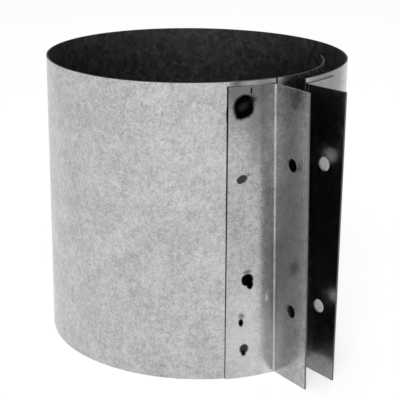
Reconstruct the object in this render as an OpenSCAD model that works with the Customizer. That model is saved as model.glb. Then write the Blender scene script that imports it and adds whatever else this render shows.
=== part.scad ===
// Drawband for joining two lengths of round duct, standing open on its edge.
// One sheet is rolled into a band. Beside the gap each end carries a folded
// angle, spot welded on, whose ear takes the draw bolts. A tongue welded
// inside the left end carries the joint across the gap.
// The ends have sprung: the left one leans, and the right one stands wide and slants.
// Origin on the band's axis at its lower rim, +Z along the duct. The gap faces -Y.

/* [Band] */
// Outside diameter of the band, standing open
band_d = 160; // [140:1:260]
// Width of the band, along the duct
band_w = 152.4; // [110:0.1:300]
// Thickness of the band's sheet
band_t = 0.8; // [0.5:0.1:1.2]
// Gap between the two ears where they leave the band
gap_w = 12.2; // [8:0.1:20]

/* [Sprung ends] */
// How far the left end leans inwards at its top
top_in = 6.3; // [0:0.1:9]
// How far the left end leans outwards at its bottom
bottom_out = 1.1; // [0:0.1:3]
// Part of the turn over which that lean grows from nothing, in degrees
lean_arc = 71; // [50:1:120]
// Part of the turn over which the right end eases outwards, in degrees
ease_arc = 35; // [20:1:60]
// How much further from the gap's middle the right end stands at its bottom than at its top
right_slant = 3.4; // [0:0.1:5]

/* [Tongue] */
// Thickness of the tongue's sheet
tongue_t = 0.8; // [0.5:0.1:1.2]
// How far the tongue runs on past the left end of the band
tongue_free = 70; // [30:1:100]
// How much smaller the radius of that free stretch is than the band's
tongue_tighter = 19; // [12:1:30]
// Clearance between the tongue and the right end, which slides over it
slide_gap = 0.8; // [0.2:0.1:3]

/* [Angles] */
// Thickness of the angles' sheet
angle_t = 1; // [0.8:0.1:1.6]
// Inside radius of the folds
bend_r = 1; // [0.6:0.1:2]
// How far the ears stand out from the band
ear_w = 25; // [21:0.5:40]
// Left angle's leg, along the band
left_leg = 27.5; // [16:0.5:40]
// Right angle's leg, along the band
right_leg = 25; // [16:0.5:40]
// Drop from the band's top rim to the top of the angles
angle_drop = 2.5; // [0.5:0.5:8]
// How far the right ear's top is turned out of parallel with the left ear, in degrees
right_ear_turn = 7; // [0:1:12]
// How much less its bottom is turned, in degrees
right_ear_twist = 4; // [0:1:6]

/* [Bolt holes] */
// Diameter of the bolt holes
hole_d = 7; // [5:0.1:9]
// Distance between an ear's two holes
hole_spacing = 75; // [40:1:90]
// Distance from the band's outer face to the middle of the holes
hole_out = 13.4; // [9:0.1:16]

/* [Hidden] */
// Clearance between sheets that are welded face to face
weld_gap = 0.05;
// Longest step round a curve, in degrees
step = 3;
// Steps round a fold
bend_steps = 8;
// Rows of patches up the twisted right angle
twist_rows = 5;
LEFT = -1;
RIGHT = 1;
zinc = [0.72, 0.73, 0.73];
dull_zinc = [0.62, 0.63, 0.64];

band_r = band_d / 2;
inside_r = band_r - band_t;
right_out = bottom_out + slide_gap;
angle_h = band_w - angle_drop;

// Half of the gap at height z, on either side: only the right end slants
function half_gap(side, z) = gap_w / 2 + (side == RIGHT ? right_slant * (1 - z / band_w) : 0);
function end_r(side) = side == RIGHT ? band_r + right_out : band_r;
left_end = 360 - asin(half_gap(LEFT, band_w) / end_r(LEFT));
right_end = asin(half_gap(RIGHT, band_w) / end_r(RIGHT));
// Where the left angle's leg and the tongue end under and over the band, and the right leg
left_edge = left_end - left_leg / band_r * 180 / PI;
right_edge = right_end + right_leg / band_r * 180 / PI;

// Angles are turned from the gap's middle, -Y, towards +X, and run from the
// right end round the back to the left end.
function out(a) = [sin(a), -cos(a)];
function clamp01(t) = max(0, min(1, t));
function pieces(span) = max(1, ceil(span / step));
function between(a, b) = [for (i = [0 : pieces(b - a)]) a + (b - a) * i / pieces(b - a)];
// Stations where sheets lie face to face, which they share: at the left end and at the right
left_stations = between(left_edge, left_end);
right_stations = between(right_end, right_edge);

// How far the left end leans inwards at height z
function lean(z) = (top_in + bottom_out) * z / band_w - bottom_out;
// Share of that lean which reaches angle a, pointing inwards
function push(a) = -out(min(a, left_end)) * pow(sin(90 * clamp01(1 - (left_end - a) / lean_arc)), 2);
// How far the right end stands out of round at angle a
function ease(a) = right_out * pow(clamp01(1 - (a - right_end) / ease_arc), 2);
// How far its slant carries angle a on round the band at height z. The whole leg moves as one.
function slant(a, z) =
    (asin(half_gap(RIGHT, z) / end_r(RIGHT)) - right_end)
    * pow(clamp01(1 - (a - right_edge) / ease_arc), 2);

// Point of a sheet at angle a, radius r and height z
function round_at(a, r, z) = out(a + slant(a, z)) * (r + ease(a)) + lean(z) * push(a);
// A station is a place along a sheet at one height: the points on its near and its far face
function round_station(a, r, t, z) = [round_at(a, r, z), round_at(a, r + t, z)];

// Two triangles for a patch with corners a, b, c and d, split between a and c
function patch(a, b, c, d) = [[a, b, c], [a, c, d]];

// Sheet metal through rows of stations, one row for each height, lowest first. Both faces are
// split along the same diagonals, so that sheets which lie together stay parallel.
module sheet(rows, heights) {
    top = len(heights) - 1;
    end = len(rows[0]) - 1;
    // Corners are counted up each station, two to a height: near face, then far face
    up = 2;
    on = up * (top + 1);
    rim = up * top;
    points = [
        for (i = [0 : end])
            for (k = [0 : top])
                for (face = [0, 1])
                    concat(rows[k][i][face], heights[k])
    ];
    faces = [
        for (i = [0 : end - 1])
            let (p = i * on)
                each concat(
                    patch(p, p + 1, p + 1 + on, p + on),
                    patch(p + rim, p + rim + on, p + rim + on + 1, p + rim + 1)
                ),
        for (i = [0 : end - 1])
            for (k = [0 : top - 1])
                let (p = i * on + k * up)
                    each concat(
                        patch(p, p + on, p + on + up, p + up),
                        patch(p + 1, p + 1 + up, p + 1 + on + up, p + 1 + on)
                    ),
        for (k = [0 : top - 1])
            let (p = k * up, q = end * on + k * up)
                each concat(patch(p, p + up, p + up + 1, p + 1), patch(q, q + 1, q + up + 1, q + up))
    ];
    polyhedron(points = points, faces = faces, convexity = 10);
}

// Only the left end leans, and only the right ear is turned
function end_push(side, z) = side == LEFT ? lean(z) * push(left_end) : [0, 0];
function turn(side, z) =
    side == RIGHT ? right_ear_turn - right_ear_twist * (1 - z / band_w) : 0;

// Where an ear's face towards the gap would meet the band's outer face, were the end upright
function corner(side, z) =
    let (r = end_r(side), g = half_gap(side, z))
        [side * g, -sqrt(r * r - g * g)];

// Middle of an angle's fold: its leg lies on the band, its ear on the gap's side
function fold_centre(side, z) =
    let (
        outer = bend_r + angle_t,
        way = out(turn(side, z)),
        q = corner(side, z) + outer * side * [cos(turn(side, z)), sin(turn(side, z))],
        r = norm(corner(side, z)) + weld_gap + outer,
        along = q * way
    )
        q + (sqrt(along * along - q * q + r * r) - along) * way;

// Angle round the band at which the fold begins
function fold_at(side, z) =
    let (c = fold_centre(side, z))
        atan2(c[0], -c[1]) + (side == LEFT ? 360 : 0);

function reversed(list) = [for (i = [len(list) - 1 : -1 : 0]) list[i]];

// Stations of a folded angle at height z, the way round that angles run: the left one from its
// leg's edge to its ear's, the right one from its ear's edge to its leg's
function angle_stations(side, z) =
    let (
        c = fold_centre(side, z),
        at_fold = fold_at(side, z),
        to_gap = -side * [cos(turn(side, z)), sin(turn(side, z))],
        moved = end_push(side, z),
        tip = corner(side, z) + ear_w * out(turn(side, z)) + moved,
        start = atan2(-out(at_fold)[1], -out(at_fold)[0]),
        sweep = ((atan2(to_gap[1], to_gap[0]) - start) * side + 720) % 360 * side,
        shared = side == LEFT ? left_stations : reversed(right_stations),
        // The shared stations that keep clear of the fold, then one close beside it
        on_leg = concat(
            [for (a = shared) if ((a - fold_at(side, band_w) - side) * side > 0) a],
            at_fold + side / 2 - slant(side == RIGHT ? right_end : left_end, z)
        ),
        stations = [
            for (a = on_leg)
                round_station(a, band_r + weld_gap, angle_t, z),
            for (i = [0 : bend_steps])
                let (b = start + sweep * i / bend_steps, d = [cos(b), sin(b)])
                    [c + (bend_r + angle_t) * d + moved, c + bend_r * d + moved],
            [tip, tip - angle_t * to_gap]
        ]
    )
        side == LEFT ? stations : reversed(stations);

// Middle of one of an ear's bolt holes
function hole_centre(side, z) =
    concat(corner(side, z) + hole_out * out(turn(side, z)) + end_push(side, z), z);

// The right ear is twisted, so that angle takes more rows than its two ends
module angle(side) {
    rows = side == RIGHT ? twist_rows : 1;
    heights = [for (k = [0 : rows]) angle_h * k / rows];
    difference() {
        sheet([for (z = heights) angle_stations(side, z)], heights);
        for (z = [angle_h - hole_spacing, angle_h + hole_spacing] / 2)
            translate(hole_centre(side, z))
                rotate([0, 90, turn(side, z)])
                    cylinder(d = hole_d, h = 6 * angle_t, center = true, $fn = 96);
    }
}

// The band: one sheet, rolled, with its cut ends level with the ears' faces
module band() {
    rest = between(right_edge, left_edge);
    inner = [for (i = [1 : len(rest) - 2]) rest[i]];
    stations = concat(right_stations, inner, left_stations);
    color(zinc)
        sheet(
            [for (z = [0, band_w]) [for (a = stations) round_station(a, inside_r, band_t, z)]],
            [0, band_w]
        );
}

// The tongue: a curved strip inside the left end, which reaches across the gap
module tongue() {
    r = inside_r - weld_gap;
    free_r = r - tongue_tighter;
    centre = out(left_end) * tongue_tighter;
    reach = left_end + tongue_free / free_r * 180 / PI;
    color(dull_zinc)
        sheet(
            [for (z = [0, band_w]) [
                for (a = left_stations)
                    round_station(a, r - tongue_t, tongue_t, z),
                for (a = between(left_end + step, reach))
                    [for (face_r = [free_r - tongue_t, free_r])
                        centre + out(a) * face_r + end_push(LEFT, z)]
            ]],
            [0, band_w]
        );
}

module left_angle() {
    color(zinc) angle(LEFT);
}

module right_angle() {
    color(zinc) angle(RIGHT);
}

band();
tongue();
left_angle();
right_angle();
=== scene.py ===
# A duct drawband standing on edge: a rolled band of galvanised sheet, a tongue inside its left
# end, and a folded angle with a bolt ear at each side of the gap. Metres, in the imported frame.
# Angles are turned from the gap's middle, -Y, towards +X, and run round the back to the left end.
import math

import bmesh
import bpy
from mathutils import Matrix, Vector


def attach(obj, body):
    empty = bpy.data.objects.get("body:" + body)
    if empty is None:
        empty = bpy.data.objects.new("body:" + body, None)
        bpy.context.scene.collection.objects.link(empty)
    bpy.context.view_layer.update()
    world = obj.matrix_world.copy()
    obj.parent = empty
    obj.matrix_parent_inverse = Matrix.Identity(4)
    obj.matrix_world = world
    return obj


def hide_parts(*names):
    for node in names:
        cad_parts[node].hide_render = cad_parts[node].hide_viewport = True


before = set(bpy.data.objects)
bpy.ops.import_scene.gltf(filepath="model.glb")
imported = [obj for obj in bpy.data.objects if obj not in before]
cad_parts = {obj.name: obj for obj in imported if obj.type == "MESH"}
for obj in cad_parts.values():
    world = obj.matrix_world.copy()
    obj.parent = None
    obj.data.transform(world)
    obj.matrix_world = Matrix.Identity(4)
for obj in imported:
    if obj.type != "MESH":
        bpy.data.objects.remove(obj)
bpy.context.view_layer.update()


# CAMERA
# It stands in front of the gap and to its left, a little above the band, and looks down on it.
# Its angles are in degrees, and its lens and sensor in millimetres.
CAMERA_AT = (-0.3368, -0.4713, 0.2609)
CAMERA_HEADING, CAMERA_DOWN, CAMERA_ROLL = 35.806, 18.292, 0.792
CAMERA_LENS, CAMERA_SENSOR = 98.27, 36.0
camera = bpy.data.cameras.new("camera")
camera.sensor_width = CAMERA_SENSOR
camera.lens = CAMERA_LENS
camera_object = bpy.data.objects.new("camera", camera)
bpy.context.scene.collection.objects.link(camera_object)
camera_object.matrix_world = (
    Matrix.Translation(CAMERA_AT)
    @ Matrix.Rotation(math.radians(-CAMERA_HEADING), 4, "Z")
    @ Matrix.Rotation(math.radians(90 - CAMERA_DOWN), 4, "X")
    @ Matrix.Rotation(math.radians(CAMERA_ROLL), 4, "Z")
)
bpy.context.scene.camera = camera_object


# BAND
# One sheet of galvanised steel, 0.8 mm thick, sheared to width and rolled into an open ring.
# Its left end has sprung over and leans, and its right end stands a little out of round and slants.
BAND_RADIUS = 0.080
BAND_SHEET = 0.0008
BAND_WIDTH = 0.1524
# Half of the gap between the ears, where they leave the band
HALF_GAP = 0.0061
# The left end's lean: inwards at its top, and outwards at its bottom
TOP_IN, BOTTOM_OUT = 0.0063, 0.0011
# The right end stands out of round, so that it slides over the tongue with this clearance
SLIDE_GAP = 0.0008
RIGHT_OUT = BOTTOM_OUT + SLIDE_GAP
# How much further from the gap's middle the right end stands at its bottom than at its top
RIGHT_SLANT = 0.0034
# How far the angles' legs reach along the band
LEFT_LEG, RIGHT_LEG = 0.0275, 0.025
# Parts of the turn over which the left end's lean and the right end's step out of round grow
LEAN_ARC, EASE_ARC = math.radians(71), math.radians(35)
LEFT_END = 2 * math.pi - math.asin(HALF_GAP / BAND_RADIUS)
RIGHT_END = math.asin(HALF_GAP / (BAND_RADIUS + RIGHT_OUT))
# The slant moves the sheet round as far as the right leg's edge, and then less and less
RIGHT_EDGE = RIGHT_END + RIGHT_LEG / BAND_RADIUS
SLANT_TURN = math.asin((HALF_GAP + RIGHT_SLANT) / (BAND_RADIUS + RIGHT_OUT)) - RIGHT_END
# The band stands a hair in, because its fine facets would else reach further out than the
# solid's coarser ones
SET_IN = 0.00001
STEPS_ROUND, STEPS_UP = 240, 60


def add(tree, kind, links=None, **settings):
    """A new node with its settings. Each link is an input's name or number and its value or socket."""
    node = tree.nodes.new(kind)
    for name, value in settings.items():
        setattr(node, name, value)
    for key, value in (links or {}).items():
        if isinstance(value, bpy.types.NodeSocket):
            tree.links.new(value, node.inputs[key])
        else:
            node.inputs[key].default_value = value
    return node


def rolled_sheet_tree():
    """A sheet rolled about Z: a block of faces, bent round, eased out and slanted at the right, and
    leaned at the left."""
    tree = bpy.data.node_groups.new("rolled sheet", "GeometryNodeTree")
    tree.is_modifier = True
    for name, value in (
        ("Start", RIGHT_END),
        ("End", LEFT_END),
        ("Inner Radius", BAND_RADIUS - BAND_SHEET - SET_IN),
        ("Thickness", BAND_SHEET),
        ("Width", BAND_WIDTH),
        ("Tighter Past The End", 0.0),
    ):
        size = tree.interface.new_socket(name, in_out="INPUT", socket_type="NodeSocketFloat")
        size.default_value = value
    steps = tree.interface.new_socket("Steps Round", in_out="INPUT", socket_type="NodeSocketInt")
    steps.default_value = STEPS_ROUND
    tree.interface.new_socket("Finish", in_out="INPUT", socket_type="NodeSocketMaterial")
    tree.interface.new_socket("Geometry", in_out="OUTPUT", socket_type="NodeSocketGeometry")
    given = add(tree, "NodeGroupInput").outputs
    block = add(tree, "GeometryNodeMeshCube", {
        "Size": (1, 1, 1), "Vertices X": given["Steps Round"], "Vertices Y": 2, "Vertices Z": STEPS_UP})
    place = add(tree, "ShaderNodeSeparateXYZ", {0: add(tree, "GeometryNodeInputPosition").outputs[0]})
    angle = add(tree, "ShaderNodeMapRange", {
        "Value": place.outputs["X"], "From Min": -0.5, "From Max": 0.5,
        "To Min": given["End"], "To Max": given["Start"]}).outputs[0]
    thick = add(tree, "ShaderNodeMath", {
        0: place.outputs["Y"], 1: given["Thickness"], 2: given["Inner Radius"]}, operation="MULTIPLY_ADD")
    half = add(tree, "ShaderNodeMath", {0: given["Thickness"], 1: 0.5, 2: thick.outputs[0]},
        operation="MULTIPLY_ADD")
    height = add(tree, "ShaderNodeMapRange", {
        "Value": place.outputs["Z"], "From Min": -0.5, "From Max": 0.5,
        "To Min": 0.0, "To Max": given["Width"]}).outputs[0]
    # How far the sheet eases out of round beside the right end
    ease = add(tree, "ShaderNodeMapRange", {
        "Value": angle, "From Min": RIGHT_END, "From Max": RIGHT_END + EASE_ARC,
        "To Min": 1.0, "To Max": 0.0})
    ease = add(tree, "ShaderNodeMath", {0: ease.outputs[0], 1: 2.0}, operation="POWER")
    ease = add(tree, "ShaderNodeMath", {0: ease.outputs[0], 1: RIGHT_OUT, 2: half.outputs[0]},
        operation="MULTIPLY_ADD")
    radius = add(tree, "ShaderNodeMath", {0: ease.outputs[0], 1: given["Tighter Past The End"]},
        operation="SUBTRACT")
    # How far round the slant of the right end carries it
    slant = add(tree, "ShaderNodeMapRange", {
        "Value": angle, "From Min": RIGHT_EDGE, "From Max": RIGHT_EDGE + EASE_ARC,
        "To Min": 1.0, "To Max": 0.0})
    slant = add(tree, "ShaderNodeMath", {0: slant.outputs[0], 1: 2.0}, operation="POWER")
    low = add(tree, "ShaderNodeMapRange", {
        "Value": height, "From Min": 0.0, "From Max": BAND_WIDTH, "To Min": SLANT_TURN, "To Max": 0.0})
    carried = add(tree, "ShaderNodeMath", {0: slant.outputs[0], 1: low.outputs[0], 2: angle},
        operation="MULTIPLY_ADD").outputs[0]
    # How far it leans inwards beside the left end
    last = add(tree, "ShaderNodeMath", {0: angle, 1: LEFT_END}, operation="MINIMUM").outputs[0]
    share = add(tree, "ShaderNodeMapRange", {
        "Value": last, "From Min": LEFT_END - LEAN_ARC, "From Max": LEFT_END,
        "To Min": 0.0, "To Max": math.pi / 2})
    share = add(tree, "ShaderNodeMath", {0: share.outputs[0]}, operation="SINE")
    share = add(tree, "ShaderNodeMath", {0: share.outputs[0], 1: 2.0}, operation="POWER")
    lean = add(tree, "ShaderNodeMapRange", {
        "Value": height, "From Min": 0.0, "From Max": BAND_WIDTH,
        "To Min": -BOTTOM_OUT, "To Max": TOP_IN}, clamp=False)
    lean = add(tree, "ShaderNodeMath", {0: lean.outputs[0], 1: share.outputs[0]}, operation="MULTIPLY")
    hub = add(tree, "ShaderNodeMath", {0: given["Tighter Past The End"], 1: lean.outputs[0]},
        operation="SUBTRACT")
    # Each point: its radius along its own direction, and the hub's shift along the end's
    turned = []
    for at, reach in ((carried, radius), (last, hub)):
        sine = add(tree, "ShaderNodeMath", {0: at}, operation="SINE")
        cosine = add(tree, "ShaderNodeMath", {0: at}, operation="COSINE")
        minus = add(tree, "ShaderNodeMath", {0: cosine.outputs[0], 1: -1.0}, operation="MULTIPLY")
        way = add(tree, "ShaderNodeCombineXYZ", {0: sine.outputs[0], 1: minus.outputs[0]})
        turned.append(add(tree, "ShaderNodeVectorMath", {
            0: way.outputs[0], "Scale": reach.outputs[0]}, operation="SCALE").outputs[0])
    flat = add(tree, "ShaderNodeVectorMath", {0: turned[0], 1: turned[1]}, operation="ADD")
    up = add(tree, "ShaderNodeCombineXYZ", {2: height})
    point = add(tree, "ShaderNodeVectorMath", {0: flat.outputs[0], 1: up.outputs[0]}, operation="ADD")
    rolled = add(tree, "GeometryNodeSetPosition", {
        "Geometry": block.outputs["Mesh"], "Position": point.outputs[0]})
    real = add(tree, "GeometryNodeRealizeInstances", {0: rolled.outputs[0]})
    dressed = add(tree, "GeometryNodeSetMaterial", {
        "Geometry": real.outputs[0], "Material": given["Finish"]})
    add(tree, "NodeGroupOutput", {0: dressed.outputs[0]})
    return tree


# How wide the shears leave an eased edge on the band's sheet. A corner that turns more than
# CORNER is such an edge, and one that turns more than CREASE isn't smoothed over.
BAND_EDGE = 0.00012
CORNER, CREASE = math.radians(50), math.radians(15)


def finished(piece, sheet_edge, cut_slot=0):
    """The piece as a plain mesh, smooth but for its creases, with its sheared edges eased by a bevel
    of the given width. Cut slot is the finish slot of those edges."""
    bevel = piece.modifiers.new("sheared edges", "BEVEL")
    bevel.width = sheet_edge
    bevel.segments = 2
    bevel.limit_method = "ANGLE"
    bevel.angle_limit = CORNER
    bevel.material = cut_slot
    graph = bpy.context.evaluated_depsgraph_get()
    mesh = bpy.data.meshes.new_from_object(piece.evaluated_get(graph), depsgraph=graph)
    piece.modifiers.clear()
    piece.data = mesh
    mesh.name = piece.name
    mesh.shade_smooth()
    mesh.set_sharp_from_angle(angle=CREASE)


def rolled_piece(name, finish, sizes):
    """A piece made by the rolled sheet tree, with the tree's inputs set by name."""
    piece = bpy.data.objects.new(name, bpy.data.meshes.new(name))
    bpy.context.scene.collection.objects.link(piece)
    roll = piece.modifiers.new("rolled sheet", "NODES")
    roll.node_group = rolled_sheet
    for item in rolled_sheet.interface.items_tree:
        if item.in_out == "INPUT" and item.name in sizes:
            roll[item.identifier] = sizes[item.name]
        if item.in_out == "INPUT" and item.name == "Finish":
            roll[item.identifier] = finish
    finished(piece, BAND_EDGE)
    return piece


# Finish slots: the side away from the band's axis, the side towards it, and the sheared edges
OUTSIDE, INSIDE, CUT = 0, 1, 2
# A face whose normal has less than this share along its radius belongs to a sheared edge
FACING = 0.95


def dress(piece, outside, inside, cut):
    """Finishes for the faces that look away from the band's axis, towards it, and for the cut edges."""
    piece.data.materials.clear()
    for finish in (outside, inside, cut):
        piece.data.materials.append(finish)
    for face in piece.data.polygons:
        radius = math.hypot(face.center.x, face.center.y)
        outwards = (face.normal.x * face.center.x + face.normal.y * face.center.y) / radius
        if outwards > FACING:
            face.material_index = OUTSIDE
        elif outwards < -FACING:
            face.material_index = INSIDE
        else:
            face.material_index = CUT


def linear(colour):
    """An sRGB hex colour as the linear values that Blender's sockets take."""
    parts = [int(colour[i : i + 2], 16) / 255 for i in (1, 3, 5)]
    return tuple(p / 12.92 if p <= 0.04045 else ((p + 0.055) / 1.055) ** 2.4 for p in parts) + (1.0,)


def galvanised(name, dark, light, smooth, rough):
    """Hot-dipped zinc gone matt: a metal with a fine grain, faint clouds and faint crystals, which are
    each a little lighter or darker, and smoother or rougher, than the next. Scales are per metre."""
    material = bpy.data.materials.new(name)
    material.use_nodes = True
    tree = material.node_tree
    shader = tree.nodes["Principled BSDF"]
    shader.inputs["Metallic"].default_value = 1.0
    place = add(tree, "ShaderNodeTexCoord").outputs["Object"]
    # Faint crystals of about 2.5 mm
    crystals = add(tree, "ShaderNodeTexVoronoi", {"Vector": place, "Scale": 400.0})
    crystal = add(tree, "ShaderNodeSeparateColor", {0: crystals.outputs["Color"]})
    # A matt grain of about 3 mm and another of 1 mm, and faint clouds of about 15 mm. The shares of
    # these three and of the crystals add up to 1.
    grain = add(tree, "ShaderNodeTexNoise", {"Vector": place, "Scale": 330.0, "Detail": 5.0,
        "Roughness": 0.8})
    tone = add(tree, "ShaderNodeMath", {0: grain.outputs[0], 1: 0.44}, operation="MULTIPLY")
    for scale, share in ((1000.0, 0.34), (65.0, 0.16)):
        noise = add(tree, "ShaderNodeTexNoise", {"Vector": place, "Scale": scale, "Detail": 1.0})
        tone = add(tree, "ShaderNodeMath", {0: noise.outputs[0], 1: share, 2: tone.outputs[0]},
            operation="MULTIPLY_ADD")
    tone = add(tree, "ShaderNodeMath", {0: crystal.outputs[0], 1: 0.06, 2: tone.outputs[0]},
        operation="MULTIPLY_ADD")
    # The sum mostly lies in the middle third, which is stretched from the dark colour to the light
    tone = add(tree, "ShaderNodeMapRange", {
        "Value": tone.outputs[0], "From Min": 0.32, "From Max": 0.68})
    colour = add(tree, "ShaderNodeMix", {
        "Factor": tone.outputs[0], "A": linear(dark), "B": linear(light)}, data_type="RGBA")
    tree.links.new(colour.outputs["Result"], shader.inputs["Base Color"])
    matt = add(tree, "ShaderNodeMapRange", {
        "Value": crystal.outputs[1], "To Min": smooth, "To Max": rough})
    tree.links.new(matt.outputs[0], shader.inputs["Roughness"])
    bump = add(tree, "ShaderNodeBump", {
        "Strength": 0.15, "Distance": 0.0001, "Height": grain.outputs[0]})
    tree.links.new(bump.outputs[0], shader.inputs["Normal"])
    return material


def bare_edge(name, dark, light):
    """A sheared edge: rough, and under a skin of oxide that hides the metal's shine."""
    material = galvanised(name, dark, light, 0.7, 0.8)
    shader = material.node_tree.nodes["Principled BSDF"]
    shader.inputs["Metallic"].default_value = 0.0
    shader.inputs["Specular IOR Level"].default_value = 0.1
    return material


def out(angle):
    """Unit vector away from the band's axis at an angle round it."""
    return Vector((math.sin(angle), -math.cos(angle)))


def leaning(angle, height):
    """Shift of a point of the band from upright, at an angle and a height."""
    last = min(angle, LEFT_END)
    share = math.sin(math.pi / 2 * max(0.0, 1 - (LEFT_END - last) / LEAN_ARC)) ** 2
    return -out(last) * share * ((TOP_IN + BOTTOM_OUT) * height / BAND_WIDTH - BOTTOM_OUT)


def slanting(angle, height):
    """How far round the slant of the right end carries a point, at an angle and a height."""
    share = max(0.0, min(1.0, 1 - (angle - RIGHT_EDGE) / EASE_ARC)) ** 2
    return SLANT_TURN * (1 - height / BAND_WIDTH) * share


def on_band(angle, radius, height):
    """A point of a sheet rolled about the band's axis, as the rolled sheet tree places it."""
    ease = RIGHT_OUT * max(0.0, 1 - (angle - RIGHT_END) / EASE_ARC) ** 2
    flat = out(angle + slanting(angle, height)) * (radius + ease) + leaning(angle, height)
    return Vector((flat.x, flat.y, height))


def crevice_shade(material, angle, radius, reach, top):
    """Painted shade in the narrow step beside a sheet that lies on this one: a dark line along that sheet's
    edge, which leans, and along its top. Reach is how far the painted shade goes to the left of the
    edge, at the foot and at the top, and how far to its right."""
    # The line fades over 0.15 mm at its sides, and from 0.2 to 0.45 mm above the sheet's top
    side_fade, top_dark, top_clear = 0.00015, 0.0002, 0.00045
    tree = material.node_tree
    shader = tree.nodes["Principled BSDF"]
    zinc = shader.inputs["Base Color"].links[0].from_socket
    place = add(tree, "ShaderNodeSeparateXYZ", {0: add(tree, "ShaderNodeTexCoord").outputs["Object"]})
    edge = add(tree, "ShaderNodeMapRange", {"Value": place.outputs["Z"], "From Max": top,
        "To Min": on_band(angle, radius, 0.0).x, "To Max": on_band(angle, radius, top).x})
    left = add(tree, "ShaderNodeMapRange", {"Value": place.outputs["Z"], "From Max": top,
        "To Min": reach[0], "To Max": reach[1]})
    across = add(tree, "ShaderNodeMath", {0: place.outputs["X"], 1: edge.outputs[0]},
        operation="SUBTRACT")
    past = add(tree, "ShaderNodeMath", {0: across.outputs[0], 1: left.outputs[0]}, operation="ADD")
    past = add(tree, "ShaderNodeMapRange", {"Value": past.outputs[0], "From Max": side_fade})
    short = add(tree, "ShaderNodeMapRange", {"Value": across.outputs[0], "From Min": reach[2],
        "From Max": reach[2] - side_fade})
    below = add(tree, "ShaderNodeMapRange", {"Value": place.outputs["Z"], "From Min": top + top_clear,
        "From Max": top + top_dark})
    shade_mask = add(tree, "ShaderNodeMath", {0: past.outputs[0], 1: below.outputs[0]}, operation="MULTIPLY")
    shade_mask = add(tree, "ShaderNodeMath", {0: shade_mask.outputs[0], 1: short.outputs[0]}, operation="MULTIPLY")
    # None on the band's far side, behind the same line
    front = add(tree, "ShaderNodeMath", {0: place.outputs["Y"], 1: 0.0}, operation="LESS_THAN")
    shade_mask = add(tree, "ShaderNodeMath", {0: shade_mask.outputs[0], 1: front.outputs[0]}, operation="MULTIPLY")
    # The painted shade turns the zinc near black along the line
    shaded_colour = add(tree, "ShaderNodeMix", {"Factor": shade_mask.outputs[0], "A": zinc, "B": linear("#060606")},
        data_type="RGBA")
    tree.links.new(shaded_colour.outputs["Result"], shader.inputs["Base Color"])


# A mark reaches this far front and back, which keeps a leg's marks off its ear and the band's
# marks off its far side
MARK_REACH = 0.012
# How far the noise moves a mark's edge in or out, as a share of the mark's size
RAGGEDNESS = 0.35


def scorch_and_shade(material, face, marks, end=LEFT_END, side=-1):
    """Burnt, sooty or wiped patches, and patches of painted shade, near an end of the band, on a face of
    the given radius. Each mark: distance along the face from the band's end and height, half width
    and half height, all in mm, tilt in degrees, colour, how much of it covers the zinc, and how softly
    it fades. Side is -1 for marks to the left of that end and 1 to the right."""
    tree = material.node_tree
    shader = tree.nodes["Principled BSDF"]
    colour = shader.inputs["Base Color"].links[0].from_socket
    place = add(tree, "ShaderNodeTexCoord").outputs["Object"]
    # Ragged on a scale of about 1.5 mm
    ragged = add(tree, "ShaderNodeTexNoise", {"Vector": place, "Scale": 650.0, "Detail": 2.0})
    ragged = add(tree, "ShaderNodeMath", {0: ragged.outputs[0], 1: 0.5}, operation="SUBTRACT")
    for along, height, half_wide, half_high, tilt, mark_colour, cover, fade in marks:
        angle = end + side * along / 1000 / face
        # Laid on from the front, it is narrower by as much as the face has turned away
        spot = add(tree, "ShaderNodeMapping", {
            "Vector": place, "Location": on_band(angle, face, height / 1000),
            "Rotation": (0, math.radians(tilt), 0),
            "Scale": (half_wide / 1000 * math.cos(angle), MARK_REACH, half_high / 1000)},
            vector_type="TEXTURE")
        spread = add(tree, "ShaderNodeVectorMath", {0: spot.outputs[0]}, operation="LENGTH")
        spread = add(tree, "ShaderNodeMath", {
            0: ragged.outputs[0], 1: RAGGEDNESS, 2: spread.outputs["Value"]}, operation="MULTIPLY_ADD")
        mask = add(tree, "ShaderNodeMapRange", {
            "Value": spread.outputs[0], "From Min": 1 + fade, "From Max": 1 - fade, "To Max": cover},
            interpolation_type="SMOOTHSTEP")
        colour = add(tree, "ShaderNodeMix", {
            "Factor": mask.outputs[0], "A": colour, "B": linear(mark_colour)}, data_type="RGBA").outputs["Result"]
    tree.links.new(colour, shader.inputs["Base Color"])


rolled_sheet = rolled_sheet_tree()
# The band's zinc has gone matt: a light, even grey with a fine mottle and blurred reflections
band_zinc = galvanised("galvanised band", "#929292", "#D5D5D5", 0.24, 0.34)
# Painted shade: the inside is given a dark grey, which stays dark even where it mirrors the white
# surroundings
painted_shade_zinc = galvanised("inside with painted shade", "#4F4F4F", "#737373", 0.3, 0.4)
# Sheared edges are bare steel, dulled by a grey skin of oxide, and hardly shine
sheared = bare_edge("sheared steel edge", "#343434", "#4A4A4A")
ANGLE_DROP = 0.0025
ANGLE_HEIGHT = BAND_WIDTH - ANGLE_DROP
# Painted shade beside the left leg's edge, wider towards its top, and along the whole of its top
crevice_shade(band_zinc, LEFT_END - LEFT_LEG / BAND_RADIUS, BAND_RADIUS, (0.00025, 0.0007, LEFT_LEG),
    ANGLE_HEIGHT)
# Two grey streaks along the rim above the left leg, and a short black tick of painted shade beside
# its edge, where the gap under the leg widens
scorch_and_shade(band_zinc, BAND_RADIUS, (
    (20.5, 151.2, 6.0, 1.6, 0, "#626262", 1.0, 0.5),
    (11.0, 151.2, 9.0, 1.6, 0, "#989898", 1.0, 0.4),
    (27.9, 136.3, 0.55, 4.6, 0, "#060606", 1.0, 0.2),
))
# A broad dark patch over the band's top beside the right leg, a painted reflection of dark surroundings
scorch_and_shade(band_zinc, BAND_RADIUS, (
    (22.0, 147.0, 27.0, 24.0, 0, "#686868", 0.7, 0.45),
), RIGHT_END, 1)
band = rolled_piece("rolled_band", band_zinc, {})
dress(band, band_zinc, painted_shade_zinc, sheared)
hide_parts("band")
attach(band, "root")


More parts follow.
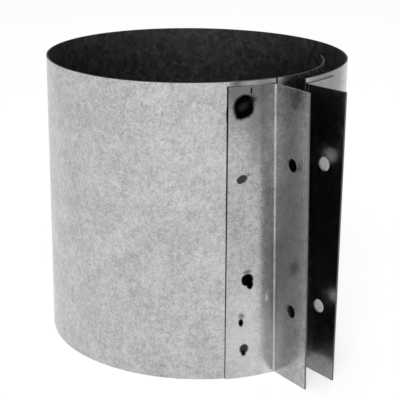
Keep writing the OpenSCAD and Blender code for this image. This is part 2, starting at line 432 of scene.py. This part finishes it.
# TONGUE
# A strip of the same sheet, spot welded inside the left end. It keeps the band's curve there and
# runs on in a tighter one, so that it reaches across the gap behind the right end.
WELD_GAP = 0.00005
TONGUE_FREE = 0.070
TONGUE_TIGHTER = 0.019
TONGUE_STEPS_ROUND = 90
tongue_radius = BAND_RADIUS - BAND_SHEET - WELD_GAP
# Its outside, which shows in the gap, is sheltered zinc: light, and a little smoother than the band's
tongue_zinc = galvanised("galvanised tongue", "#969696", "#C6C6C6", 0.2, 0.3)
# Painted shade where it comes out from under the band's end
crevice_shade(tongue_zinc, LEFT_END, tongue_radius, (0.003, 0.003, 0.0015), BAND_WIDTH)
tongue = rolled_piece("tongue_strip", tongue_zinc, {
    "Start": LEFT_END - LEFT_LEG / BAND_RADIUS,
    "End": LEFT_END + TONGUE_FREE / (tongue_radius - TONGUE_TIGHTER),
    "Inner Radius": tongue_radius - BAND_SHEET,
    "Tighter Past The End": TONGUE_TIGHTER,
    "Steps Round": TONGUE_STEPS_ROUND,
})
# Its inside is painted as dark as the band's, as shade, and the welds through the left leg show faintly
# there
shaded_tongue_inside = galvanised("tongue inside with painted shade", "#4F4F4F", "#737373", 0.3, 0.4)
scorch_and_shade(shaded_tongue_inside, tongue_radius - BAND_SHEET, (
    (19.2, 140.1, 2.8, 2.8, 0, "#1C1C1C", 0.8, 0.5),
    (20.3, 104.7, 2.0, 1.7, 0, "#262626", 0.8, 0.5),
    (16.5, 52.2, 2.4, 2.4, 0, "#1C1C1C", 0.8, 0.5),
    (18.3, 15.4, 1.9, 1.9, 0, "#262626", 0.8, 0.5),
))
dress(tongue, tongue_zinc, shaded_tongue_inside, sheared)
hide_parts("tongue")
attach(tongue, "root")


# ANGLES
# Each is a strip of 1 mm galvanised sheet, folded to an L on a brake. One leg is spot welded
# over the band's end, and the other stands out as an ear with two punched bolt holes.
ANGLE_SHEET = 0.001
BEND_RADIUS = 0.001
EAR = 0.025
# How far the right ear is turned out of parallel at its top, and how much less at its bottom
RIGHT_EAR_TURN, RIGHT_EAR_TWIST = math.radians(7), math.radians(4)
# The bolt holes, and how far their middles lie from the band's outer face
HOLE_RADIUS, HOLE_OUT, HOLE_SPACING = 0.0035, 0.0134, 0.075
HOLE_HEIGHTS = (ANGLE_HEIGHT / 2 - HOLE_SPACING / 2, ANGLE_HEIGHT / 2 + HOLE_SPACING / 2)
LEFT, RIGHT = -1, 1
# How finely the strip is divided: along the leg and up it, round the fold, and out along the ear
MESH_STEP, FOLD_STEPS, EAR_STEPS = 0.0006, 10, 21
# How wide the shears leave an eased edge on this sheet
ANGLE_EDGE = 0.0001
# The punches that cut the holes, and how near two corners are merged afterwards
PUNCH_LENGTH, PUNCH_SIDES = 0.006, 64
MERGED = 0.00001


def ear_corner(side, height):
    """Where an ear's face towards the gap meets the band's outer face, but for the left end's lean."""
    radius = BAND_RADIUS + (RIGHT_OUT if side == RIGHT else 0.0)
    half = HALF_GAP + (RIGHT_SLANT * (1 - height / BAND_WIDTH) if side == RIGHT else 0.0)
    return Vector((side * half, -math.sqrt(radius**2 - half**2)))


def ear_turn(side, height):
    """How far an ear is turned: the left one is square to the gap, and the right one is twisted."""
    return RIGHT_EAR_TURN - RIGHT_EAR_TWIST * (1 - height / BAND_WIDTH) if side == RIGHT else 0.0


def angle_profile(side, height):
    """The folded strip at a height, from its leg's edge to its ear's: for each step the points on its
    inner and its outer face, and how far along the leg they lie."""
    turn = ear_turn(side, height)
    way = out(turn)
    corner = ear_corner(side, height)
    bend = BEND_RADIUS + ANGLE_SHEET
    across = Vector((math.cos(turn), math.sin(turn))) * side
    centre = corner + across * bend
    along = centre.dot(way)
    reach = corner.length + WELD_GAP + bend
    centre = centre + way * (math.sqrt(along**2 - centre.dot(centre) + reach**2) - along)
    fold_at = math.atan2(centre.x, -centre.y)
    end, leg = (RIGHT_END, RIGHT_LEG) if side == RIGHT else (LEFT_END, LEFT_LEG)
    edge = end + side * leg / BAND_RADIUS
    fold_at += 2 * math.pi if side == LEFT else 0.0
    at_fold = fold_at - slanting(end, height)
    steps = round(leg / MESH_STEP)
    inner = BAND_RADIUS + WELD_GAP
    profile = []
    for i in range(steps):
        angle = edge + (at_fold - edge) * i / steps
        profile.append((
            on_band(angle, inner, height),
            on_band(angle, inner + ANGLE_SHEET, height),
            abs(angle - end) * (inner + ANGLE_SHEET),
        ))
    shift = leaning(LEFT_END, height) if side == LEFT else Vector((0, 0))
    start = math.atan2(-out(fold_at).y, -out(fold_at).x)
    stop = math.atan2(-across.y, -across.x)
    sweep = ((stop - start) * side) % (2 * math.pi) * side
    pairs = []
    for i in range(FOLD_STEPS + 1):
        turned = start + sweep * i / FOLD_STEPS
        ray = Vector((math.cos(turned), math.sin(turned)))
        pairs.append((centre + ray * bend, centre + ray * BEND_RADIUS))
    root = centre - across * bend
    tip = corner + way * EAR
    for i in range(1, EAR_STEPS + 1):
        flat = root + (tip - root) * i / EAR_STEPS
        pairs.append((flat, flat + across * ANGLE_SHEET))
    for near, far in pairs:
        profile.append((
            Vector((near.x + shift.x, near.y + shift.y, height)),
            Vector((far.x + shift.x, far.y + shift.y, height)),
            0.0,
        ))
    return profile


def folded_angle(name, side, finishes, dents):
    """The strip as a closed mesh, its leg's outer face pressed in at each weld, and its holes cut."""
    rows = round(ANGLE_HEIGHT / MESH_STEP)
    levels = [angle_profile(side, ANGLE_HEIGHT * row / rows) for row in range(rows + 1)]
    mesh = bmesh.new()
    grid = []
    for i in range(len(levels[0])):
        column = []
        for level in levels:
            near, far, leg = level[i]
            press = 0.0
            for at, height, half_wide, half_high, tilt, depth in dents if leg else ():
                dx, dz = leg - at, near.z - height
                dx, dz = (dx * math.cos(tilt) + dz * math.sin(tilt),
                          dz * math.cos(tilt) - dx * math.sin(tilt))
                spread = math.hypot(dx / half_wide, dz / half_high)
                # A bowl, with a low rim pushed up round it
                bowl = max(0.0, 1 - spread**2) ** 1.5
                rim = math.exp(-(((spread - 1.15) / 0.2) ** 2))
                press += depth * (bowl - 0.25 * rim)
            column.append((mesh.verts.new(near), mesh.verts.new(far + (near - far).normalized() * press)))
        grid.append(column)
    for left, right in zip(grid, grid[1:]):
        for row in range(rows):
            for face in (0, 1):
                corners = (left[row][face], right[row][face], right[row + 1][face], left[row + 1][face])
                mesh.faces.new(corners).material_index = (INSIDE, OUTSIDE)[face]
        for row in (0, rows):
            corners = (left[row][0], left[row][1], right[row][1], right[row][0])
            mesh.faces.new(corners).material_index = CUT
    for column in (grid[0], grid[-1]):
        for row in range(rows):
            corners = (column[row][0], column[row][1], column[row + 1][1], column[row + 1][0])
            mesh.faces.new(corners).material_index = CUT
    bmesh.ops.recalc_face_normals(mesh, faces=mesh.faces)
    data = bpy.data.meshes.new(name)
    mesh.to_mesh(data)
    mesh.free()
    piece = bpy.data.objects.new(name, data)
    bpy.context.scene.collection.objects.link(piece)
    punches = []
    for z in HOLE_HEIGHTS:
        turn = ear_turn(side, z)
        flat = ear_corner(side, z) + out(turn) * HOLE_OUT
        flat += leaning(LEFT_END, z) if side == LEFT else Vector((0, 0))
        punch = bmesh.new()
        bmesh.ops.create_cone(punch, segments=PUNCH_SIDES, radius1=HOLE_RADIUS, radius2=HOLE_RADIUS,
            depth=PUNCH_LENGTH, cap_ends=True, matrix=Matrix.Translation((flat.x, flat.y, z))
            @ Matrix.Rotation(turn, 4, "Z") @ Matrix.Rotation(math.pi / 2, 4, "Y"))
        for face in punch.faces:
            face.material_index = CUT
        data = bpy.data.meshes.new("punch")
        punch.to_mesh(data)
        punch.free()
        tool = bpy.data.objects.new("punch", data)
        bpy.context.scene.collection.objects.link(tool)
        punches.append(tool)
        cut = piece.modifiers.new("bolt hole", "BOOLEAN")
        cut.operation = "DIFFERENCE"
        cut.solver = "EXACT"
        cut.object = tool
    # Where a hole's edge meets the sheet's grid, the cut leaves corners almost on top of each other
    weld = piece.modifiers.new("merged corners", "WELD")
    weld.merge_threshold = MERGED
    for finish in finishes:
        piece.data.materials.append(finish)
    finished(piece, ANGLE_EDGE, CUT)
    for tool in punches:
        bpy.data.objects.remove(tool, do_unlink=True)
    return piece


# Dents that the welding tips left in the left leg: distance along it from the band's end, height,
# half width and half height, tilt, and depth
LEFT_WELDS = (
    (0.0192, 0.1402, 0.0036, 0.0036, 0.0, 0.00035),
    (0.0203, 0.1047, 0.0030, 0.0020, math.radians(-29), 0.00030),
    (0.0165, 0.0522, 0.0033, 0.0038, 0.0, 0.00035),
    (0.0200, 0.0302, 0.0014, 0.0022, 0.0, 0.00025),
    (0.0183, 0.0154, 0.0026, 0.0028, 0.0, 0.00030),
)
# Shearing smears some zinc over the angles' thicker edges, which stay lighter than the band's
smeared = bare_edge("sheared edge with smeared zinc", "#6E6E6E", "#868686")
# The right angle's zinc has greyed, but is smooth enough for its ear to mirror the dark gap
angle_zinc = galvanised("galvanised angle", "#737373", "#9F9F9F", 0.18, 0.26)
# The same on its outside, where the leg has four plain welds
right_leg_zinc = galvanised("galvanised angle with plain welds", "#737373", "#9F9F9F", 0.18, 0.26)
scorch_and_shade(right_leg_zinc, BAND_RADIUS + WELD_GAP + ANGLE_SHEET, (
    (15.2, 138.0, 2.6, 2.6, 0, "#2E2E2E", 0.9, 0.4),
    (16.0, 101.5, 2.3, 1.9, 20, "#3A3A3A", 0.8, 0.4),
    (15.0, 55.0, 2.7, 2.5, 0, "#2A2A2A", 0.9, 0.4),
    (15.6, 17.0, 2.1, 2.3, 0, "#3A3A3A", 0.8, 0.4),
), RIGHT_END, 1)
# The left angle's zinc is lighter and as smooth, so that its ear mirrors the leg and the burns. On
# the leg come first the grey haze at its top and painted shade towards the ear, then paler zinc
# low down, and then the burnt welds from the top down, black or dark, some with lighter scale at the rim.
burnt_and_shaded_zinc = galvanised("galvanised angle with burnt welds and painted shade", "#858585", "#C7C7C7", 0.18, 0.26)
scorch_and_shade(burnt_and_shaded_zinc, BAND_RADIUS + WELD_GAP + ANGLE_SHEET, (
    (19.0, 147.5, 13.0, 7.0, 0, "#525252", 0.75, 0.6),
    (12.5, 134.0, 4.5, 19.0, 0, "#686868", 0.6, 0.8),
    (20.0, 140.5, 10.0, 10.0, 0, "#6E6E6E", 0.5, 0.9),
    (17.0, 18.0, 14.0, 26.0, 0, "#DCDCDC", 0.45, 0.8),
    (5.0, 16.0, 3.5, 22.0, 0, "#E0E0E0", 0.6, 0.6),
    (19.6, 140.1, 5.7, 5.6, 0, "#030303", 1.0, 0.18),
    (15.2, 143.4, 2.2, 1.8, 0, "#101010", 0.9, 0.8),
    (21.5, 136.5, 3.0, 2.6, 0, "#030303", 1.0, 0.5),
    (18.8, 144.6, 3.0, 1.5, 0, "#040404", 1.0, 0.4),
    (20.0, 140.3, 2.6, 1.6, -30, "#202020", 1.0, 0.6),
    (15.5, 147.7, 0.45, 1.7, 0, "#020202", 1.0, 0.3),
    (20.3, 104.7, 3.0, 1.9, -29, "#3A3A3A", 1.0, 0.15),
    (16.8, 106.7, 1.0, 0.6, -20, "#7A7A7A", 1.0, 0.6),
    (16.8, 52.6, 3.3, 3.3, 0, "#030303", 1.0, 0.15),
    (15.4, 50.0, 1.8, 2.5, 0, "#030303", 1.0, 0.2),
    (16.8, 56.9, 2.2, 0.9, -10, "#6C6C6C", 1.0, 0.6),
    (20.0, 30.2, 1.3, 2.2, 0, "#030303", 1.0, 0.3),
    (19.7, 33.7, 1.5, 1.5, 0, "#7C7C7C", 1.0, 0.7),
    (18.2, 15.8, 2.4, 2.5, 0, "#363636", 1.0, 0.2),
    (18.5, 13.5, 1.3, 1.6, 0, "#101010", 1.0, 0.4),
))
# Painted shade: the ear is given a darker grey than the leg
scorch_and_shade(burnt_and_shaded_zinc, BAND_RADIUS + EAR / 2, (
    (0.0, 68.0, 3.0, 58.0, 0, "#6E6E6E", 0.6, 0.5),
))
# The left angle's faces towards the band and the gap take the inside's painted shade
left_angle = folded_angle("folded_left_angle", LEFT, (burnt_and_shaded_zinc, painted_shade_zinc, smeared), LEFT_WELDS)
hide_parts("left_angle")
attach(left_angle, "root")

# The right leg hardly shows in the photograph: its welds are taken to be plainer ones of the same kind
RIGHT_WELDS = (
    (0.0152, 0.1380, 0.0028, 0.0028, 0.0, 0.00030),
    (0.0160, 0.1015, 0.0026, 0.0022, math.radians(20), 0.00025),
    (0.0150, 0.0550, 0.0028, 0.0026, 0.0, 0.00030),
    (0.0156, 0.0170, 0.0024, 0.0026, 0.0, 0.00025),
)
right_angle = folded_angle("folded_right_angle", RIGHT, (right_leg_zinc, angle_zinc, smeared),
    RIGHT_WELDS)
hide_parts("right_angle")
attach(right_angle, "root")


# FLOOR AND LAMPS
# A plain pale floor and soft lamps. The floor, and the world behind it, show as white to the
# camera and in the metal, and the floor keeps the object's shadow.
FLOOR_HALF = 4
# The floor's own glow where the camera sees it, and the world's light where it doesn't
FLOOR_GLOW, WORLD_LEVEL = 0.6, 0.5
LAMPS_AIM = Vector((0, 0, 0.075))


def seen_rays(tree):
    """1 for what the camera sees, straight or in metal or glass, and 0 for light on the object."""
    rays = add(tree, "ShaderNodeLightPath").outputs
    seen = add(tree, "ShaderNodeMath", {0: rays["Is Camera Ray"], 1: rays["Is Glossy Ray"]},
        operation="MAXIMUM")
    seen = add(tree, "ShaderNodeMath", {0: seen.outputs[0], 1: rays["Is Transmission Ray"]},
        operation="MAXIMUM")
    return seen.outputs[0]


floor_mesh = bpy.data.meshes.new("floor")
corners = [(x * FLOOR_HALF, y * FLOOR_HALF, 0) for x, y in ((-1, -1), (1, -1), (1, 1), (-1, 1))]
floor_mesh.from_pydata(corners, [], [(0, 1, 2, 3)])
floor = bpy.data.objects.new("floor", floor_mesh)
bpy.context.scene.collection.objects.link(floor)
pale = bpy.data.materials.new("pale floor")
pale.use_nodes = True
tree = pale.node_tree
tree.nodes.clear()
seen = seen_rays(tree)
paint = add(tree, "ShaderNodeBsdfDiffuse", {"Color": linear("#C8C8C8")})
glow = add(tree, "ShaderNodeEmission", {"Strength": FLOOR_GLOW})
bright = add(tree, "ShaderNodeAddShader", {0: paint.outputs[0], 1: glow.outputs[0]})
mixed = add(tree, "ShaderNodeMixShader", {0: seen, 1: paint.outputs[0], 2: bright.outputs[0]})
add(tree, "ShaderNodeOutputMaterial", {0: mixed.outputs[0]})
floor_mesh.materials.append(pale)

world = bpy.data.worlds.new("studio")
bpy.context.scene.world = world
world.use_nodes = True
tree = world.node_tree
tree.nodes.clear()
level = add(tree, "ShaderNodeMapRange", {"Value": seen_rays(tree), "To Min": WORLD_LEVEL, "To Max": 1.0})
sky = add(tree, "ShaderNodeBackground", {"Color": (1, 1, 1, 1), "Strength": level.outputs[0]})
add(tree, "ShaderNodeOutputWorld", {0: sky.outputs[0]})

for name, at, size, watts in (
    ("key lamp", (-0.8, -0.9, 1.3), (0.8, 0.8), 10.0),
    ("back lamp", (0.8, 0.9, 1.2), (0.8, 0.8), 2.0),
):
    lamp = bpy.data.lights.new(name, "AREA")
    lamp.shape = "RECTANGLE"
    lamp.size, lamp.size_y = size
    lamp.energy = watts
    lamp_object = bpy.data.objects.new(name, lamp)
    lamp_object.location = at
    lamp_object.rotation_euler = (LAMPS_AIM - Vector(at)).to_track_quat("-Z", "Y").to_euler()
    bpy.context.scene.collection.objects.link(lamp_object)

bpy.context.scene.view_settings.view_transform = "Standard"
